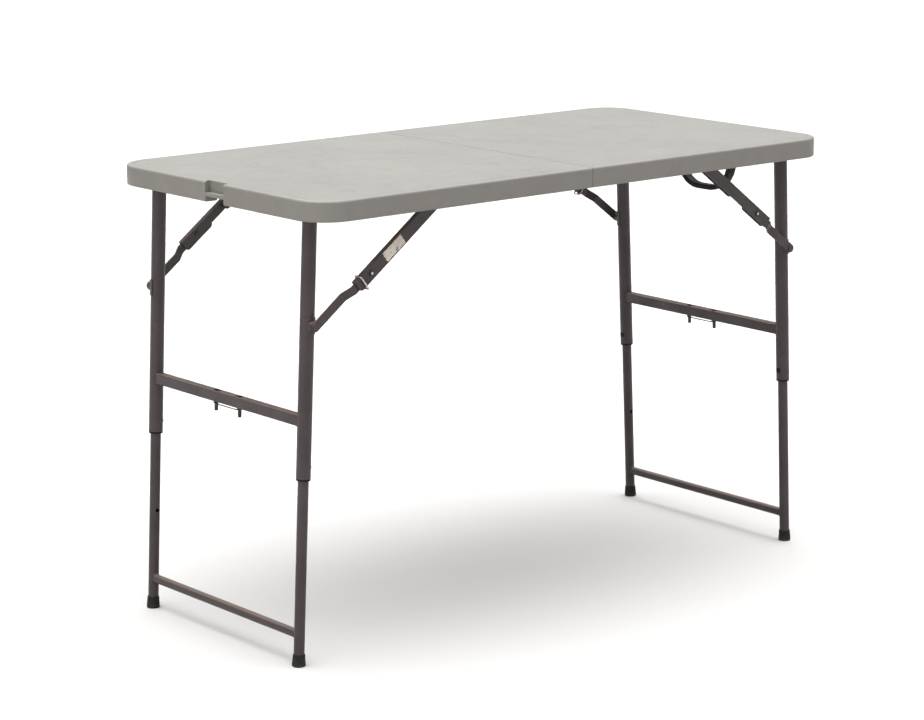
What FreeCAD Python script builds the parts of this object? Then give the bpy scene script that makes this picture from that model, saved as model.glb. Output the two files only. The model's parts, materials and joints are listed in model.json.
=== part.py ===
import FreeCAD, Part
import math
import os

import Sketcher

# Folding utility table, 4 ft x 2 ft, that folds in half and has height-adjustable folding legs.
# Frame: origin on the floor under the middle of the table, +X along the table's length
# to the right-hand end, -Y to the front, +Z up. All sizes are in millimetres and degrees.
#
# The right-hand front quarter is drawn; the rear pieces mirror it in Y and the left-hand
# pieces mirror it in X.

Vector = FreeCAD.Vector
Rotation = FreeCAD.Rotation
Placement = FreeCAD.Placement

doc = FreeCAD.newDocument("FoldingTable")

# ---------------------------------------------------------------- driving dimensions

SIZES = {
    # top
    "top_length": 1220.0,
    "top_width": 610.0,
    "table_height": 816.0,
    "rim_depth": 36.6,
    "rim_wall": 25.0,
    "seam_wall": 22.0,
    "seam_gap": 1.0,
    "deck_thickness": 9.0,
    "corner_radius": 64.0,
    "edge_round": 5.0,
    "foot_of_rim_round": 2.0,
    "recess_corner_radius": 3.0,
    "leg_channel_width": 29.0,
    "notch_width": 54.0,
    "notch_middle": 9.0,
    "notch_depth": 10.0,
    "notch_ledge_drop": 20.2,
    "notch_lift": 10.0,
    # side rails
    "rail_inset": 268.0,
    "rail_width": 11.5,
    "rail_bottom": 779.8,
    "rail_top": 806.5,
    "rail_wall": 1.5,
    "rail_start": 26.0,
    "rail_end": 583.0,
    "pivot_clearance": 0.1,
    "screw_radius": 2.2,
    "screw_head_radius": 4.5,
    "screw_head_height": 2.4,
    "screw_grip": 5.5,
    "screw_first": 60.0,
    "screw_pitch": 130.0,
    # centre hinges
    "hinge_middle": 150.0,
    "hinge_width": 60.0,
    "hinge_leaf_length": 20.0,
    "hinge_leaf_thickness": 1.5,
    "hinge_knuckle_radius": 4.0,
    "hinge_pin_radius": 2.0,
    "hinge_relief_radius": 4.6,
    "hinge_play": 0.3,
    # leg frames
    "pivot_reach": 566.0,
    "pivot_height": 792.0,
    "pivot_tube_radius": 11.0,
    "pivot_tube_wall": 1.5,
    "pivot_tube_half": 269.4,
    "splay_angle": 2.7,
    "leg_offset": 222.3,
    "outer_tube_radius": 12.7,
    "outer_tube_wall": 1.2,
    "outer_tube_length": 461.5,
    "inner_tube_radius": 9.5,
    "inner_tube_wall": 1.5,
    "inner_tube_start": 341.5,
    "height_hole_drop": 608.7,
    "height_hole_radius": 3.8,
    "window_drop": 442.5,
    "window_radius": 5.5,
    "crossbar_drop": 362.4,
    "crossbar_size": 19.0,
    "crossbar_wall": 1.2,
    "crossbar_corner": 2.0,
    "stretcher_drop": 736.8,
    "stretcher_radius": 8.0,
    "stretcher_wall": 1.2,
    "bush_lip": 3.0,
    "bush_length": 40.0,
    "bush_bore": 9.6,
    "plug_length": 12.0,
    "plug_cap": 3.0,
    "foot_height": 22.0,
    "foot_base": 5.0,
    "foot_top_radius": 10.7,
    "foot_bottom_radius": 12.25,
    "foot_round": 2.0,
    "fit_play": 0.05,
    # height lock
    "lock_rod_radius": 4.0,
    "lock_rod_play": 0.4,
    "lock_rod_inner_end": 24.0,
    "lock_travel": 8.0,
    "finger_pin_offset": 35.0,
    "finger_pin_radius": 3.35,
    "finger_pin_drop": 27.0,
    "finger_pin_rise": 8.3,
    "spring_wire_radius": 0.8,
    "spring_drop": 13.0,
    "spring_bow": 4.0,
    # folding braces
    "brace_foot_drop": 197.2,
    "lower_brace_length": 136.0,
    "brace_plane": 256.0,
    "brace_foot_plane": 245.5,
    "channel_depth": 10.3,
    "channel_half_width": 11.0,
    "channel_wall": 1.5,
    "channel_overhang": 36.0,
    "channel_window_start": 118.0,
    "channel_window_end": 157.0,
    "channel_end_round": 7.0,
    "strap_width": 16.0,
    "strap_thickness": 3.0,
    "joggle_start": 44.0,
    "joggle_end": 62.0,
    "rivet_radius": 3.0,
    "rivet_head_radius": 5.0,
    "rivet_head_height": 1.8,
    "rivet_play": 0.05,
    "rivet_dome": 1.2,
    "saddle_height": 28.0,
    "saddle_thickness": 1.5,
    "saddle_boss_radius": 9.0,
    "saddle_end": 243.7,
    "foot_rivet_head_radius": 6.5,
    "ring_wire_radius": 1.5,
    "ring_place": 215.6,
    "ring_half_depth": 8.7,
    "ring_top": 12.6,
    "ring_bottom": -15.5,
    "ring_corner": 3.5,
    # carrying handle
    "handle_reach": 597.0,
    "handle_pivot_height": 766.0,
    "handle_half_width": 75.0,
    "handle_drop": 87.0,
    "handle_thickness": 10.0,
    "handle_breadth": 20.0,
    "handle_bend": 60.0,
    "handle_head_round": 8.0,
    "handle_middle": 8.0,
    "handle_round": 2.5,
    "handle_pin_radius": 3.0,
    "handle_lug_thickness": 3.0,
    "handle_plate_thickness": 2.5,
}

# The folding braces lie straight when the leg stands and fold flat beside the leg when
# the leg lies flat. With r the distance from leg pivot to brace foot and a the lower
# brace's length, the anchor's distance from the leg pivot follows from
# (anchor - r + 2a)^2 = anchor^2 + 2 anchor r sin(splay) + r^2.
foot_drop = SIZES["brace_foot_drop"]
lower_length = SIZES["lower_brace_length"]
splay = math.radians(SIZES["splay_angle"])
spare = 2.0 * lower_length - foot_drop
anchor_offset = (foot_drop**2 - spare**2) / (2.0 * (spare - foot_drop * math.sin(splay)))
brace_run = anchor_offset + foot_drop * math.sin(splay)
brace_fall = foot_drop * math.cos(splay)
SIZES["anchor_reach"] = SIZES["pivot_reach"] - anchor_offset
SIZES["brace_slope"] = math.degrees(math.atan2(brace_fall, brace_run))
SIZES["upper_brace_length"] = math.hypot(brace_run, brace_fall) - lower_length

dims = doc.addObject("Spreadsheet::Sheet", "Dims")
for row, (alias, size) in enumerate(SIZES.items(), start=1):
    dims.set(f"A{row}", alias)
    dims.set(f"B{row}", repr(size))
    dims.setAlias(f"B{row}", alias)
doc.recompute()


# ---------------------------------------------------------------- modelling helpers

def bind(target, expressions):
    """Tie properties of an object to expressions on the sheet."""
    for path, text in expressions.items():
        target.setExpression(path, text)


def box(name, x, y, z):
    """A box between two expressions along each axis."""
    solid = doc.addObject("Part::Box", name)
    for side, axis, (low, high) in zip(("Length", "Width", "Height"), "xyz", (x, y, z)):
        bind(solid, {side: f"({high}) - ({low})", f"Placement.Base.{axis}": low})
    return solid


AXIS_TURNS = {
    "X": Rotation(Vector(0, 1, 0), 90),
    "Y": Rotation(Vector(1, 0, 0), -90),
    "Z": Rotation(),
}


def cylinder(name, axis, radius, start, end, centre):
    """A cylinder along an axis from start to end; centre maps the other axes to expressions."""
    solid = doc.addObject("Part::Cylinder", name)
    solid.Placement = Placement(Vector(), AXIS_TURNS[axis])
    bind(solid, {"Radius": radius, "Height": f"({end}) - ({start})"})
    for other, text in {axis.lower(): start, **centre}.items():
        bind(solid, {f"Placement.Base.{other}": text})
    return solid


def fuse(name, solids):
    """One solid from touching or overlapping solids."""
    joined = doc.addObject("Part::MultiFuse", name)
    joined.Shapes = solids
    joined.Refine = True
    return joined


def cut(name, base, tools):
    """The base less every tool."""
    result = doc.addObject("Part::Cut", name)
    result.Base = base
    result.Tool = tools[0] if len(tools) == 1 else fuse(name + "_tools", tools)
    result.Refine = True
    return result


def mirror(name, source, axis):
    """The mirror image across the plane through the origin normal to X or Y."""
    image = doc.addObject("Part::Mirroring", name)
    image.Source = source
    image.Normal = Vector(1, 0, 0) if axis == "X" else Vector(0, 1, 0)
    return image


def group(name, solids):
    """Identical separate solids kept in one node."""
    pieces = doc.addObject("Part::Compound", name)
    pieces.Links = solids
    return pieces


def round_edges(name, base, radius, picker):
    """Round the edges that picker accepts; picker sees each edge's bounding box."""
    doc.recompute()
    rounded = doc.addObject("Part::Fillet", name)
    rounded.Base = base
    size = float(dims.get(radius))
    edges = base.Shape.Edges
    rounded.Edges = [(i, size, size) for i, e in enumerate(edges, start=1) if picker(e.BoundBox)]
    return rounded


def seat(piece, x, z, angle, y="0"):
    """Turn a piece about Y and set it down at x, y, z."""
    piece.Placement = Placement(Vector(), Rotation(Vector(0, 1, 0), 1.0))
    bind(piece, {
        "Placement.Base.x": x,
        "Placement.Base.y": y,
        "Placement.Base.z": z,
        "Placement.Rotation.Angle": angle,
    })
    return piece


def seat_on_leg(piece, y="0"):
    """Legs are drawn hanging straight down from their pivot, then splayed."""
    return seat(piece, "Dims.pivot_reach", "Dims.pivot_height", "-Dims.splay_angle", y)


def seat_on_brace(piece):
    """Braces are drawn along +X from their anchor, then sloped down to the leg."""
    return seat(piece, "Dims.anchor_reach", "Dims.pivot_height", "Dims.brace_slope")


def sketch_outline(body, name, role, corners, height="0"):
    """A closed outline on an origin plane; each corner is a pair of bound expressions."""
    sketch = body.newObject("Sketcher::SketchObject", name)
    plane = next(f for f in body.Origin.OriginFeatures if f.Role == role)
    sketch.AttachmentSupport = [(plane, "")]
    sketch.MapMode = "FlatFace"
    bind(sketch, {"AttachmentOffset.Base.z": height})
    points = [Vector(float(dims.evalExpression(u)), float(dims.evalExpression(v)), 0)
              for u, v in corners]
    for here, there in zip(points, points[1:] + points[:1]):
        sketch.addGeometry(Part.LineSegment(here, there))
    count = len(points)
    for i in range(count):
        sketch.addConstraint(Sketcher.Constraint("Coincident", i, 2, (i + 1) % count, 1))
    for i, ((u, v), point) in enumerate(zip(corners, points)):
        for kind, text, size in (("DistanceX", u, point.x), ("DistanceY", v, point.y)):
            index = sketch.addConstraint(Sketcher.Constraint(kind, -1, 1, i, 1, size))
            sketch.setExpression(f"Constraints[{index}]", text)
    return sketch


def pad(body, name, sketch, length, midplane=False):
    """Pad a sketch."""
    feature = body.newObject("PartDesign::Pad", name)
    feature.Profile = sketch
    feature.Midplane = midplane
    bind(feature, {"Length": length})
    doc.recompute()
    return feature


def pocket_up(body, name, sketch, length):
    """Cut a sketch upwards into the body, and make sure that it cut something."""
    before = body.Shape.Volume
    feature = body.newObject("PartDesign::Pocket", name)
    feature.Profile = sketch
    feature.Reversed = True
    bind(feature, {"Length": length})
    doc.recompute()
    if body.Shape.Volume >= before:
        raise RuntimeError(name + " cut nothing")
    return feature


def fillet(body, name, radius, picker):
    """Round the body's edges that picker accepts."""
    base = body.Tip
    names = [f"Edge{i}" for i, e in enumerate(base.Shape.Edges, start=1) if picker(e.BoundBox)]
    feature = body.newObject("PartDesign::Fillet", name)
    feature.Base = (base, names)
    bind(feature, {"Radius": radius})
    doc.recompute()
    return feature


def revolve(body, name, sketch):
    """Turn a sketch a full turn about the body's Z axis."""
    feature = body.newObject("PartDesign::Revolution", name)
    feature.Profile = sketch
    feature.ReferenceAxis = (sketch, ["V_Axis"])
    feature.Angle = 360.0
    doc.recompute()
    return feature


def size_of(alias):
    """A dimension's number, for picking edges and for shapes made by function."""
    return float(dims.get(alias))


def near(value, target, reach=0.05):
    return abs(value - target) < reach


nodes = {}


def keep(name, piece):
    """Name a finished sub-part, which names its file too."""
    piece.Label = name
    nodes[name] = piece
    return piece


def keep_four(name, piece):
    """A right-hand front piece and its three mirror images, each a sub-part."""
    rear = mirror("Mirror_rear_" + name, piece, "Y")
    keep("right_front_" + name, piece)
    keep("right_rear_" + name, rear)
    keep("left_front_" + name, mirror("Mirror_left_front_" + name, piece, "X"))
    keep("left_rear_" + name, mirror("Mirror_left_rear_" + name, rear, "X"))


def keep_pair(name, piece):
    """A right-hand piece and its left-hand mirror image."""
    keep("right_" + name, piece)
    keep("left_" + name, mirror("Mirror_left_" + name, piece, "X"))


def keep_pair_of_groups(name, piece):
    """A right-hand front piece and its rear image in one node, and the same on the left."""
    rear = mirror("Mirror_rear_" + name, piece, "Y")
    keep_pair(name, group("Group_" + name, [piece, rear]))


# ---------------------------------------------------------------- table top

RIM_BOTTOM = "Dims.table_height - Dims.rim_depth"
SEAM = "Dims.seam_gap / 2"
DECK_UNDERSIDE = "Dims.table_height - Dims.deck_thickness"


def make_top_shell():
    """Right half of the top: a deck with a deep rim on all four sides, open underneath."""
    body = doc.addObject("PartDesign::Body", "TopShell")
    end, side = "Dims.top_length / 2", "Dims.top_width / 2"
    outline = sketch_outline(
        body, "TopOutline", "XY_Plane",
        [(SEAM, f"-{side}"), (end, f"-{side}"), (end, side), (SEAM, side)], RIM_BOTTOM)
    pad(body, "TopPad", outline, "Dims.rim_depth")
    half_length, half_width = size_of("top_length") / 2, size_of("top_width") / 2
    rim_bottom, height = size_of("table_height") - size_of("rim_depth"), size_of("table_height")
    seam_face = size_of("seam_gap") / 2
    fillet(body, "TopCorners", "Dims.corner_radius",
           lambda b: b.ZLength > 1 and near(b.XMin, half_length))
    fillet(body, "TopEdge", "Dims.edge_round",
           lambda b: near(b.ZMin, height) and not near(b.XMax, seam_face))
    fillet(body, "RimFoot", "Dims.foot_of_rim_round",
           lambda b: near(b.ZMax, rim_bottom) and not near(b.XMax, seam_face))
    inner_end, inner_side = f"{end} - Dims.rim_wall", f"{side} - Dims.rim_wall"
    inner_seam = f"{SEAM} + Dims.seam_wall"
    recess = sketch_outline(
        body, "RecessOutline", "XY_Plane",
        [(inner_seam, f"-({inner_side})"), (inner_end, f"-({inner_side})"),
         (inner_end, inner_side), (inner_seam, inner_side)], RIM_BOTTOM)
    pocket_up(body, "Recess", recess, "Dims.rim_depth - Dims.deck_thickness")
    recess_end = half_length - size_of("rim_wall")
    recess_start = seam_face + size_of("seam_wall")
    recess_side = half_width - size_of("rim_wall")
    fillet(body, "RecessCorners", "Dims.recess_corner_radius",
           lambda b: b.ZLength > 20 and near(abs(b.YMin), recess_side) and near(b.XMin, recess_end))
    for label, sign in (("Front", "-"), ("Rear", "")):
        middle = f"{sign}Dims.leg_offset"
        low, high = f"{middle} - Dims.leg_channel_width / 2", f"{middle} + Dims.leg_channel_width / 2"
        channel = sketch_outline(
            body, label + "LegChannelOutline", "XY_Plane",
            [("0", low), (f"{inner_seam} + 1", low), (f"{inner_seam} + 1", high), ("0", high)],
            RIM_BOTTOM)
        pocket_up(body, label + "LegChannel", channel, "Dims.rim_depth - Dims.deck_thickness")
    return body


def hinge_recess(label, sign):
    """The seat for one centre hinge: a shallow bed for the leaf and a round relief."""
    low = f"{sign}Dims.hinge_middle - Dims.hinge_width / 2 - Dims.hinge_play"
    high = f"{sign}Dims.hinge_middle + Dims.hinge_width / 2 + Dims.hinge_play"
    bed = box(label + "HingeBed", ("0", "Dims.hinge_leaf_length + Dims.hinge_play"), (low, high),
              (f"{RIM_BOTTOM} - 1", f"{RIM_BOTTOM} + Dims.hinge_leaf_thickness"))
    relief = cylinder(label + "HingeRelief", "Y", "Dims.hinge_relief_radius", low, high,
                      {"x": "0", "z": RIM_BOTTOM})
    return [bed, relief]


def rail_screw_places():
    """Where the screws of the front right-hand rail stand."""
    middle = "-(Dims.rail_inset + Dims.rail_wall + (Dims.rail_width - Dims.rail_wall) / 2)"
    return [(f"Dims.screw_first + {i} * Dims.screw_pitch", middle) for i in range(4)]


def make_top_halves():
    shell = make_top_shell()
    tools = hinge_recess("Front", "-") + hinge_recess("Rear", "")
    drills = [cylinder(f"ScrewDrill{i}", "Z", "Dims.screw_radius", DECK_UNDERSIDE,
                       f"{DECK_UNDERSIDE} + Dims.screw_grip", {"x": x, "y": y})
              for i, (x, y) in enumerate(rail_screw_places())]
    front_drills = group("FrontDrills", drills)
    tools += [front_drills, mirror("RearDrills", front_drills, "Y")]
    right = cut("RightTop", shell, tools)
    keep("right_top_half", right)
    # the left-hand end has a finger notch: a pocket open upwards and outwards over a
    # thin ledge, with the foot of the rim cut away below it
    end = "-Dims.top_length / 2"
    across = ("-Dims.notch_middle - Dims.notch_width / 2", "-Dims.notch_middle + Dims.notch_width / 2")
    inward = (f"{end} - 1", f"{end} + Dims.notch_depth")
    ledge = "Dims.table_height - Dims.notch_ledge_drop"
    pocket = box("NotchPocket", inward, across, (ledge, "Dims.table_height + 1"))
    through = (f"{end} - 1", f"{end} + Dims.rim_wall + 1")
    underneath = box("NotchFoot", through, across,
                     (f"{RIM_BOTTOM} - 1", f"{RIM_BOTTOM} + Dims.notch_lift"))
    plain = mirror("MirrorTop", right, "X")
    keep("left_top_half", cut("LeftTop", plain, [pocket, underneath]))


def make_rails():
    """Steel channel rails inside the long rims; they carry the leg and brace pivots."""
    inner, outer = "-Dims.rail_inset", "-(Dims.rail_inset + Dims.rail_width)"
    length = ("Dims.rail_start", "Dims.rail_end")
    blank = box("RailBlank", length, (outer, inner), ("Dims.rail_bottom", "Dims.rail_top"))
    hollow = box("RailHollow", ("Dims.rail_start - 1", "Dims.rail_end + 1"),
                 (f"{outer} - 1", f"{inner} - Dims.rail_wall"),
                 ("Dims.rail_bottom + Dims.rail_wall", "Dims.rail_top - Dims.rail_wall"))
    pivot_hole = cylinder("RailPivotHole", "Y", "Dims.pivot_tube_radius + Dims.pivot_clearance",
                          f"{inner} - 5", f"{inner} + 5",
                          {"x": "Dims.pivot_reach", "z": "Dims.pivot_height"})
    anchor_hole = cylinder("RailAnchorHole", "Y", "Dims.rivet_radius + Dims.rivet_play",
                           f"{inner} - 5", f"{inner} + 5",
                           {"x": "Dims.anchor_reach", "z": "Dims.pivot_height"})
    screw_holes = [cylinder(f"RailScrewHole{i}", "Z", "Dims.screw_radius + Dims.rivet_play",
                            "Dims.rail_top - 5", "Dims.rail_top + 5", {"x": x, "y": y})
                   for i, (x, y) in enumerate(rail_screw_places())]
    keep_four("rail", cut("Rail", blank, [hollow, pivot_hole, anchor_hole] + screw_holes))


def make_rail_screws():
    """Pan-head screws up through each rail into the deck."""
    seat_face = "Dims.rail_top - Dims.rail_wall"
    screws = []
    for i, (x, y) in enumerate(rail_screw_places()):
        head = cylinder(f"ScrewHead{i}", "Z", "Dims.screw_head_radius",
                        f"{seat_face} - Dims.screw_head_height", seat_face, {"x": x, "y": y})
        shank = cylinder(f"ScrewShank{i}", "Z", "Dims.screw_radius", f"{seat_face} - 1",
                         f"{DECK_UNDERSIDE} + Dims.screw_grip", {"x": x, "y": y})
        screws.append(fuse(f"Screw{i}", [head, shank]))
    keep_pair_of_groups("rail_screws", group("FrontScrews", screws))


def make_anchor_pins():
    """Headed pins through each rail that the upper braces turn on."""
    place = {"x": "Dims.anchor_reach", "z": "Dims.pivot_height"}
    inner_face = "-(Dims.brace_plane - Dims.channel_depth / 2)"
    web_back = "-(Dims.rail_inset + Dims.rail_wall)"
    shank = cylinder("AnchorShank", "Y", "Dims.rivet_radius", web_back, inner_face, place)
    inner_head = cylinder("AnchorInnerHead", "Y", "Dims.rivet_head_radius", inner_face,
                          f"{inner_face} + Dims.rivet_head_height", place)
    outer_head = cylinder("AnchorOuterHead", "Y", "Dims.rivet_head_radius",
                          f"{web_back} - Dims.rivet_head_height", web_back, place)
    keep_pair_of_groups("brace_anchor_pins", fuse("AnchorPin", [shank, inner_head, outer_head]))


# ---------------------------------------------------------------- centre hinges

def make_hinge_leaf(label, knuckles):
    """One leaf at the front: a plate under the seam wall and its knuckles on the seam axis."""
    middle, half = "-Dims.hinge_middle", "Dims.hinge_width / 2"
    plate = box(label + "Plate", ("0", "Dims.hinge_leaf_length"),
                (f"{middle} - {half}", f"{middle} + {half}"),
                (RIM_BOTTOM, f"{RIM_BOTTOM} + Dims.hinge_leaf_thickness"))
    axis = {"x": "0", "z": RIM_BOTTOM}
    clear = cylinder(label + "Clear", "Y", "Dims.hinge_relief_radius", f"{middle} - {half} - 1",
                     f"{middle} + {half} + 1", axis)
    trimmed = cut(label + "Trimmed", plate, [clear])
    solids = [trimmed]
    for i, (start, end) in enumerate(knuckles):
        low, high = f"{middle} + ({start})", f"{middle} + ({end})"
        solids.append(cylinder(f"{label}Knuckle{i}", "Y", "Dims.hinge_knuckle_radius", low, high, axis))
        web_top = f"{RIM_BOTTOM} + Dims.hinge_leaf_thickness"
        solids.append(box(f"{label}Web{i}", ("0", "Dims.hinge_relief_radius + 1"), (low, high),
                          (RIM_BOTTOM, web_top)))
    bore = cylinder(label + "Bore", "Y", "Dims.hinge_pin_radius + Dims.rivet_play",
                    f"{middle} - {half} - 1", f"{middle} + {half} + 1", axis)
    return cut(label, fuse(label + "Blank", solids), [bore])


def make_hinges():
    half, sixth = "Dims.hinge_width / 2", "Dims.hinge_width / 6"
    middle_knuckle = [(f"-{sixth} + Dims.hinge_play", f"{sixth} - Dims.hinge_play")]
    end_knuckles = [(f"-{half}", f"-{sixth}"), (sixth, half)]
    right = make_hinge_leaf("RightLeaf", middle_knuckle)
    keep("right_hinge_leaves", group("RightLeaves", [right, mirror("RightLeafRear", right, "Y")]))
    left = mirror("LeftLeaf", make_hinge_leaf("LeftLeafDrawn", end_knuckles), "X")
    pin = cylinder("HingePin", "Y", "Dims.hinge_pin_radius",
                   f"-Dims.hinge_middle - {half}", f"-Dims.hinge_middle + {half}",
                   {"x": "0", "z": RIM_BOTTOM})
    fixed = [left, pin]
    keep("left_hinge_leaves", group(
        "LeftLeaves", fixed + [mirror(piece.Name + "Rear", piece, "Y") for piece in fixed]))


# ---------------------------------------------------------------- leg frames

LEG_AXIS = {"x": "0", "y": "-Dims.leg_offset"}
WHOLE_LEG = "Dims.pivot_height / cos(Dims.splay_angle * 1 deg)"


def leg_cylinder(name, radius, start_drop, end_drop):
    """A cylinder on the front leg's axis between two drops below the leg pivot."""
    return cylinder(name, "Z", radius, f"-({end_drop})", f"-({start_drop})", LEG_AXIS)


def make_pivot_tube():
    """The cross tube at the head of a leg frame; its ends turn in the rails."""
    ends = ("-Dims.pivot_tube_half", "Dims.pivot_tube_half")
    place = {"x": "0", "z": "0"}
    skin = cylinder("PivotTubeSkin", "Y", "Dims.pivot_tube_radius", *ends, place)
    bore = cylinder("PivotTubeBore", "Y", "Dims.pivot_tube_radius - Dims.pivot_tube_wall",
                    f"{ends[0]} - 1", f"{ends[1]} + 1", place)
    keep_pair("pivot_tube", seat_on_leg(cut("PivotTube", skin, [bore])))


def make_outer_tube():
    """Upper leg tube, coped over the pivot tube, with a lock hole and a bush window."""
    skin = leg_cylinder("OuterSkin", "Dims.outer_tube_radius", "0", "Dims.outer_tube_length")
    bore = leg_cylinder("OuterBore", "Dims.outer_tube_radius - Dims.outer_tube_wall", "-1",
                        "Dims.outer_tube_length + 1")
    cope = cylinder("OuterCope", "Y", "Dims.pivot_tube_radius", "-Dims.pivot_tube_half",
                    "Dims.pivot_tube_half", {"x": "0", "z": "0"})
    lock_hole = cylinder("OuterLockHole", "Y", "Dims.lock_rod_radius + Dims.pivot_clearance",
                         "-Dims.leg_offset", "-Dims.leg_offset + 20",
                         {"x": "0", "z": "-Dims.crossbar_drop"})
    window = cylinder("OuterWindow", "X", "Dims.window_radius", "-20", "0",
                      {"y": "-Dims.leg_offset", "z": "-Dims.window_drop"})
    keep_four("outer_tube", seat_on_leg(cut("OuterTube", skin, [bore, cope, lock_hole, window])))


def make_inner_tube():
    """Lower leg tube that slides in the upper one, with the hole for the low setting."""
    end = f"{WHOLE_LEG} - Dims.foot_base"
    skin = leg_cylinder("InnerSkin", "Dims.inner_tube_radius", "Dims.inner_tube_start", end)
    bore = leg_cylinder("InnerBore", "Dims.inner_tube_radius - Dims.inner_tube_wall",
                        "Dims.inner_tube_start - 1", f"{end} + 1")
    hole = cylinder("InnerHeightHole", "Y", "Dims.height_hole_radius", "-Dims.leg_offset",
                    "-Dims.leg_offset + 20", {"x": "0", "z": "-Dims.height_hole_drop"})
    keep_four("inner_tube", seat_on_leg(cut("InnerTube", skin, [bore, hole])))


def make_leg_bushes():
    """Nylon guide in the mouth of each upper tube, held by a button in the window."""
    body = doc.addObject("PartDesign::Body", "Bush")
    inside = "Dims.outer_tube_radius - Dims.outer_tube_wall - Dims.fit_play"
    profile = sketch_outline(body, "BushProfile", "XZ_Plane", [
        ("Dims.bush_bore", "-(Dims.outer_tube_length + Dims.bush_lip)"),
        ("Dims.outer_tube_radius", "-(Dims.outer_tube_length + Dims.bush_lip)"),
        ("Dims.outer_tube_radius", "-Dims.outer_tube_length"),
        (inside, "-Dims.outer_tube_length"),
        (inside, "-(Dims.outer_tube_length - Dims.bush_length)"),
        ("Dims.bush_bore", "-(Dims.outer_tube_length - Dims.bush_length)"),
    ])
    revolve(body, "BushTurned", profile)
    button = cylinder("BushButton", "X", "Dims.window_radius - Dims.fit_play",
                      "-Dims.outer_tube_radius", "-(Dims.bush_bore + 1)",
                      {"y": "0", "z": "-Dims.window_drop"})
    bush = seat_on_leg(fuse("BushWithButton", [body, button]), "-Dims.leg_offset")
    keep_pair_of_groups("leg_bushes", bush)


def make_glide_plugs():
    """Nylon cap on the head of each lower tube; it steadies the tube in the upper one."""
    body = doc.addObject("PartDesign::Body", "Plug")
    inside = "Dims.outer_tube_radius - Dims.outer_tube_wall - 2 * Dims.fit_play"
    bore = "Dims.inner_tube_radius + Dims.fit_play"
    head = "-(Dims.inner_tube_start - Dims.plug_cap)"
    profile = sketch_outline(body, "PlugProfile", "XZ_Plane", [
        ("0", head), (inside, head),
        (inside, "-(Dims.inner_tube_start + Dims.plug_length)"),
        (bore, "-(Dims.inner_tube_start + Dims.plug_length)"),
        (bore, "-Dims.inner_tube_start"), ("0", "-Dims.inner_tube_start"),
    ])
    revolve(body, "PlugTurned", profile)
    keep_pair_of_groups("glide_plugs", seat_on_leg(body, "-Dims.leg_offset"))


def make_feet():
    """Rubber foot caps, tapered, cut level where they stand on the floor."""
    body = doc.addObject("PartDesign::Body", "Foot")
    base = f"-({WHOLE_LEG} + 2)"
    top = f"-({WHOLE_LEG} - Dims.foot_height)"
    seat_height = f"-({WHOLE_LEG} - Dims.foot_base)"
    bore = "Dims.inner_tube_radius + Dims.fit_play"
    profile = sketch_outline(body, "FootProfile", "XZ_Plane", [
        ("0", base), ("Dims.foot_bottom_radius", base), ("Dims.foot_top_radius", top),
        (bore, top), (bore, seat_height), ("0", seat_height),
    ])
    revolve(body, "FootTurned", profile)
    seat_on_leg(body, "-Dims.leg_offset")
    below = box("BelowFloor", ("Dims.pivot_reach - 50", "Dims.pivot_reach + 150"),
                ("-Dims.leg_offset - 50", "-Dims.leg_offset + 50"), ("-50", "0"))
    levelled = cut("FootLevelled", body, [below])
    foot = round_edges("FootRounded", levelled, "foot_round",
                       lambda b: near(b.ZMax, 0.0, 0.2) and b.XLength > 20)
    keep_pair_of_groups("feet", foot)


def crossbar_slot(label, sign, height):
    """A round-ended slot along Y for a finger pin and its travel."""
    near_end = "Dims.finger_pin_offset - Dims.lock_travel"
    width = "(Dims.finger_pin_radius + Dims.lock_rod_play)"
    low, high = f"-({height})", f"-({height}) + 6"
    ends = []
    for i, middle in enumerate((near_end, "Dims.finger_pin_offset")):
        ends.append(cylinder(f"{label}End{i}", "Z", width, low, high,
                             {"x": "0", "y": f"{sign}({middle})"}))
    if sign == "-":
        run = ("-Dims.finger_pin_offset", f"-({near_end})")
    else:
        run = (near_end, "Dims.finger_pin_offset")
    return ends + [box(label + "Run", (f"-{width}", width), run, (low, high))]


def make_crossbar():
    """Square cross tube of the upper frame, coped to the legs, slotted for the finger pins."""
    half = "Dims.crossbar_size / 2"
    inner = f"{half} - Dims.crossbar_wall"
    reach = ("-Dims.leg_offset", "Dims.leg_offset")
    bar = box("CrossbarBlank", (f"-{half}", half), reach,
              (f"-Dims.crossbar_drop - {half}", f"-Dims.crossbar_drop + {half}"))
    rounded = round_edges("CrossbarRounded", bar, "crossbar_corner", lambda b: b.YLength > 100)
    hollow = box("CrossbarHollow", (f"-({inner})", inner), ("-Dims.leg_offset - 1", "Dims.leg_offset + 1"),
                 (f"-Dims.crossbar_drop - ({inner})", f"-Dims.crossbar_drop + ({inner})"))
    drop = "Dims.crossbar_drop"
    tools = [hollow]
    for label, sign in (("Front", "-"), ("Rear", "")):
        tools.append(cylinder(label + "CrossbarCope", "Z", "Dims.outer_tube_radius",
                              "-Dims.crossbar_drop - 20", "-Dims.crossbar_drop + 20",
                              {"x": "0", "y": f"{sign}Dims.leg_offset"}))
        tools += crossbar_slot(label + "TopSlot", sign, f"{drop} - {inner} + 2")
        tools += crossbar_slot(label + "FootSlot", sign, f"{drop} + {half} + 2")
    keep_pair("crossbar", seat_on_leg(cut("Crossbar", rounded, tools)))


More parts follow.
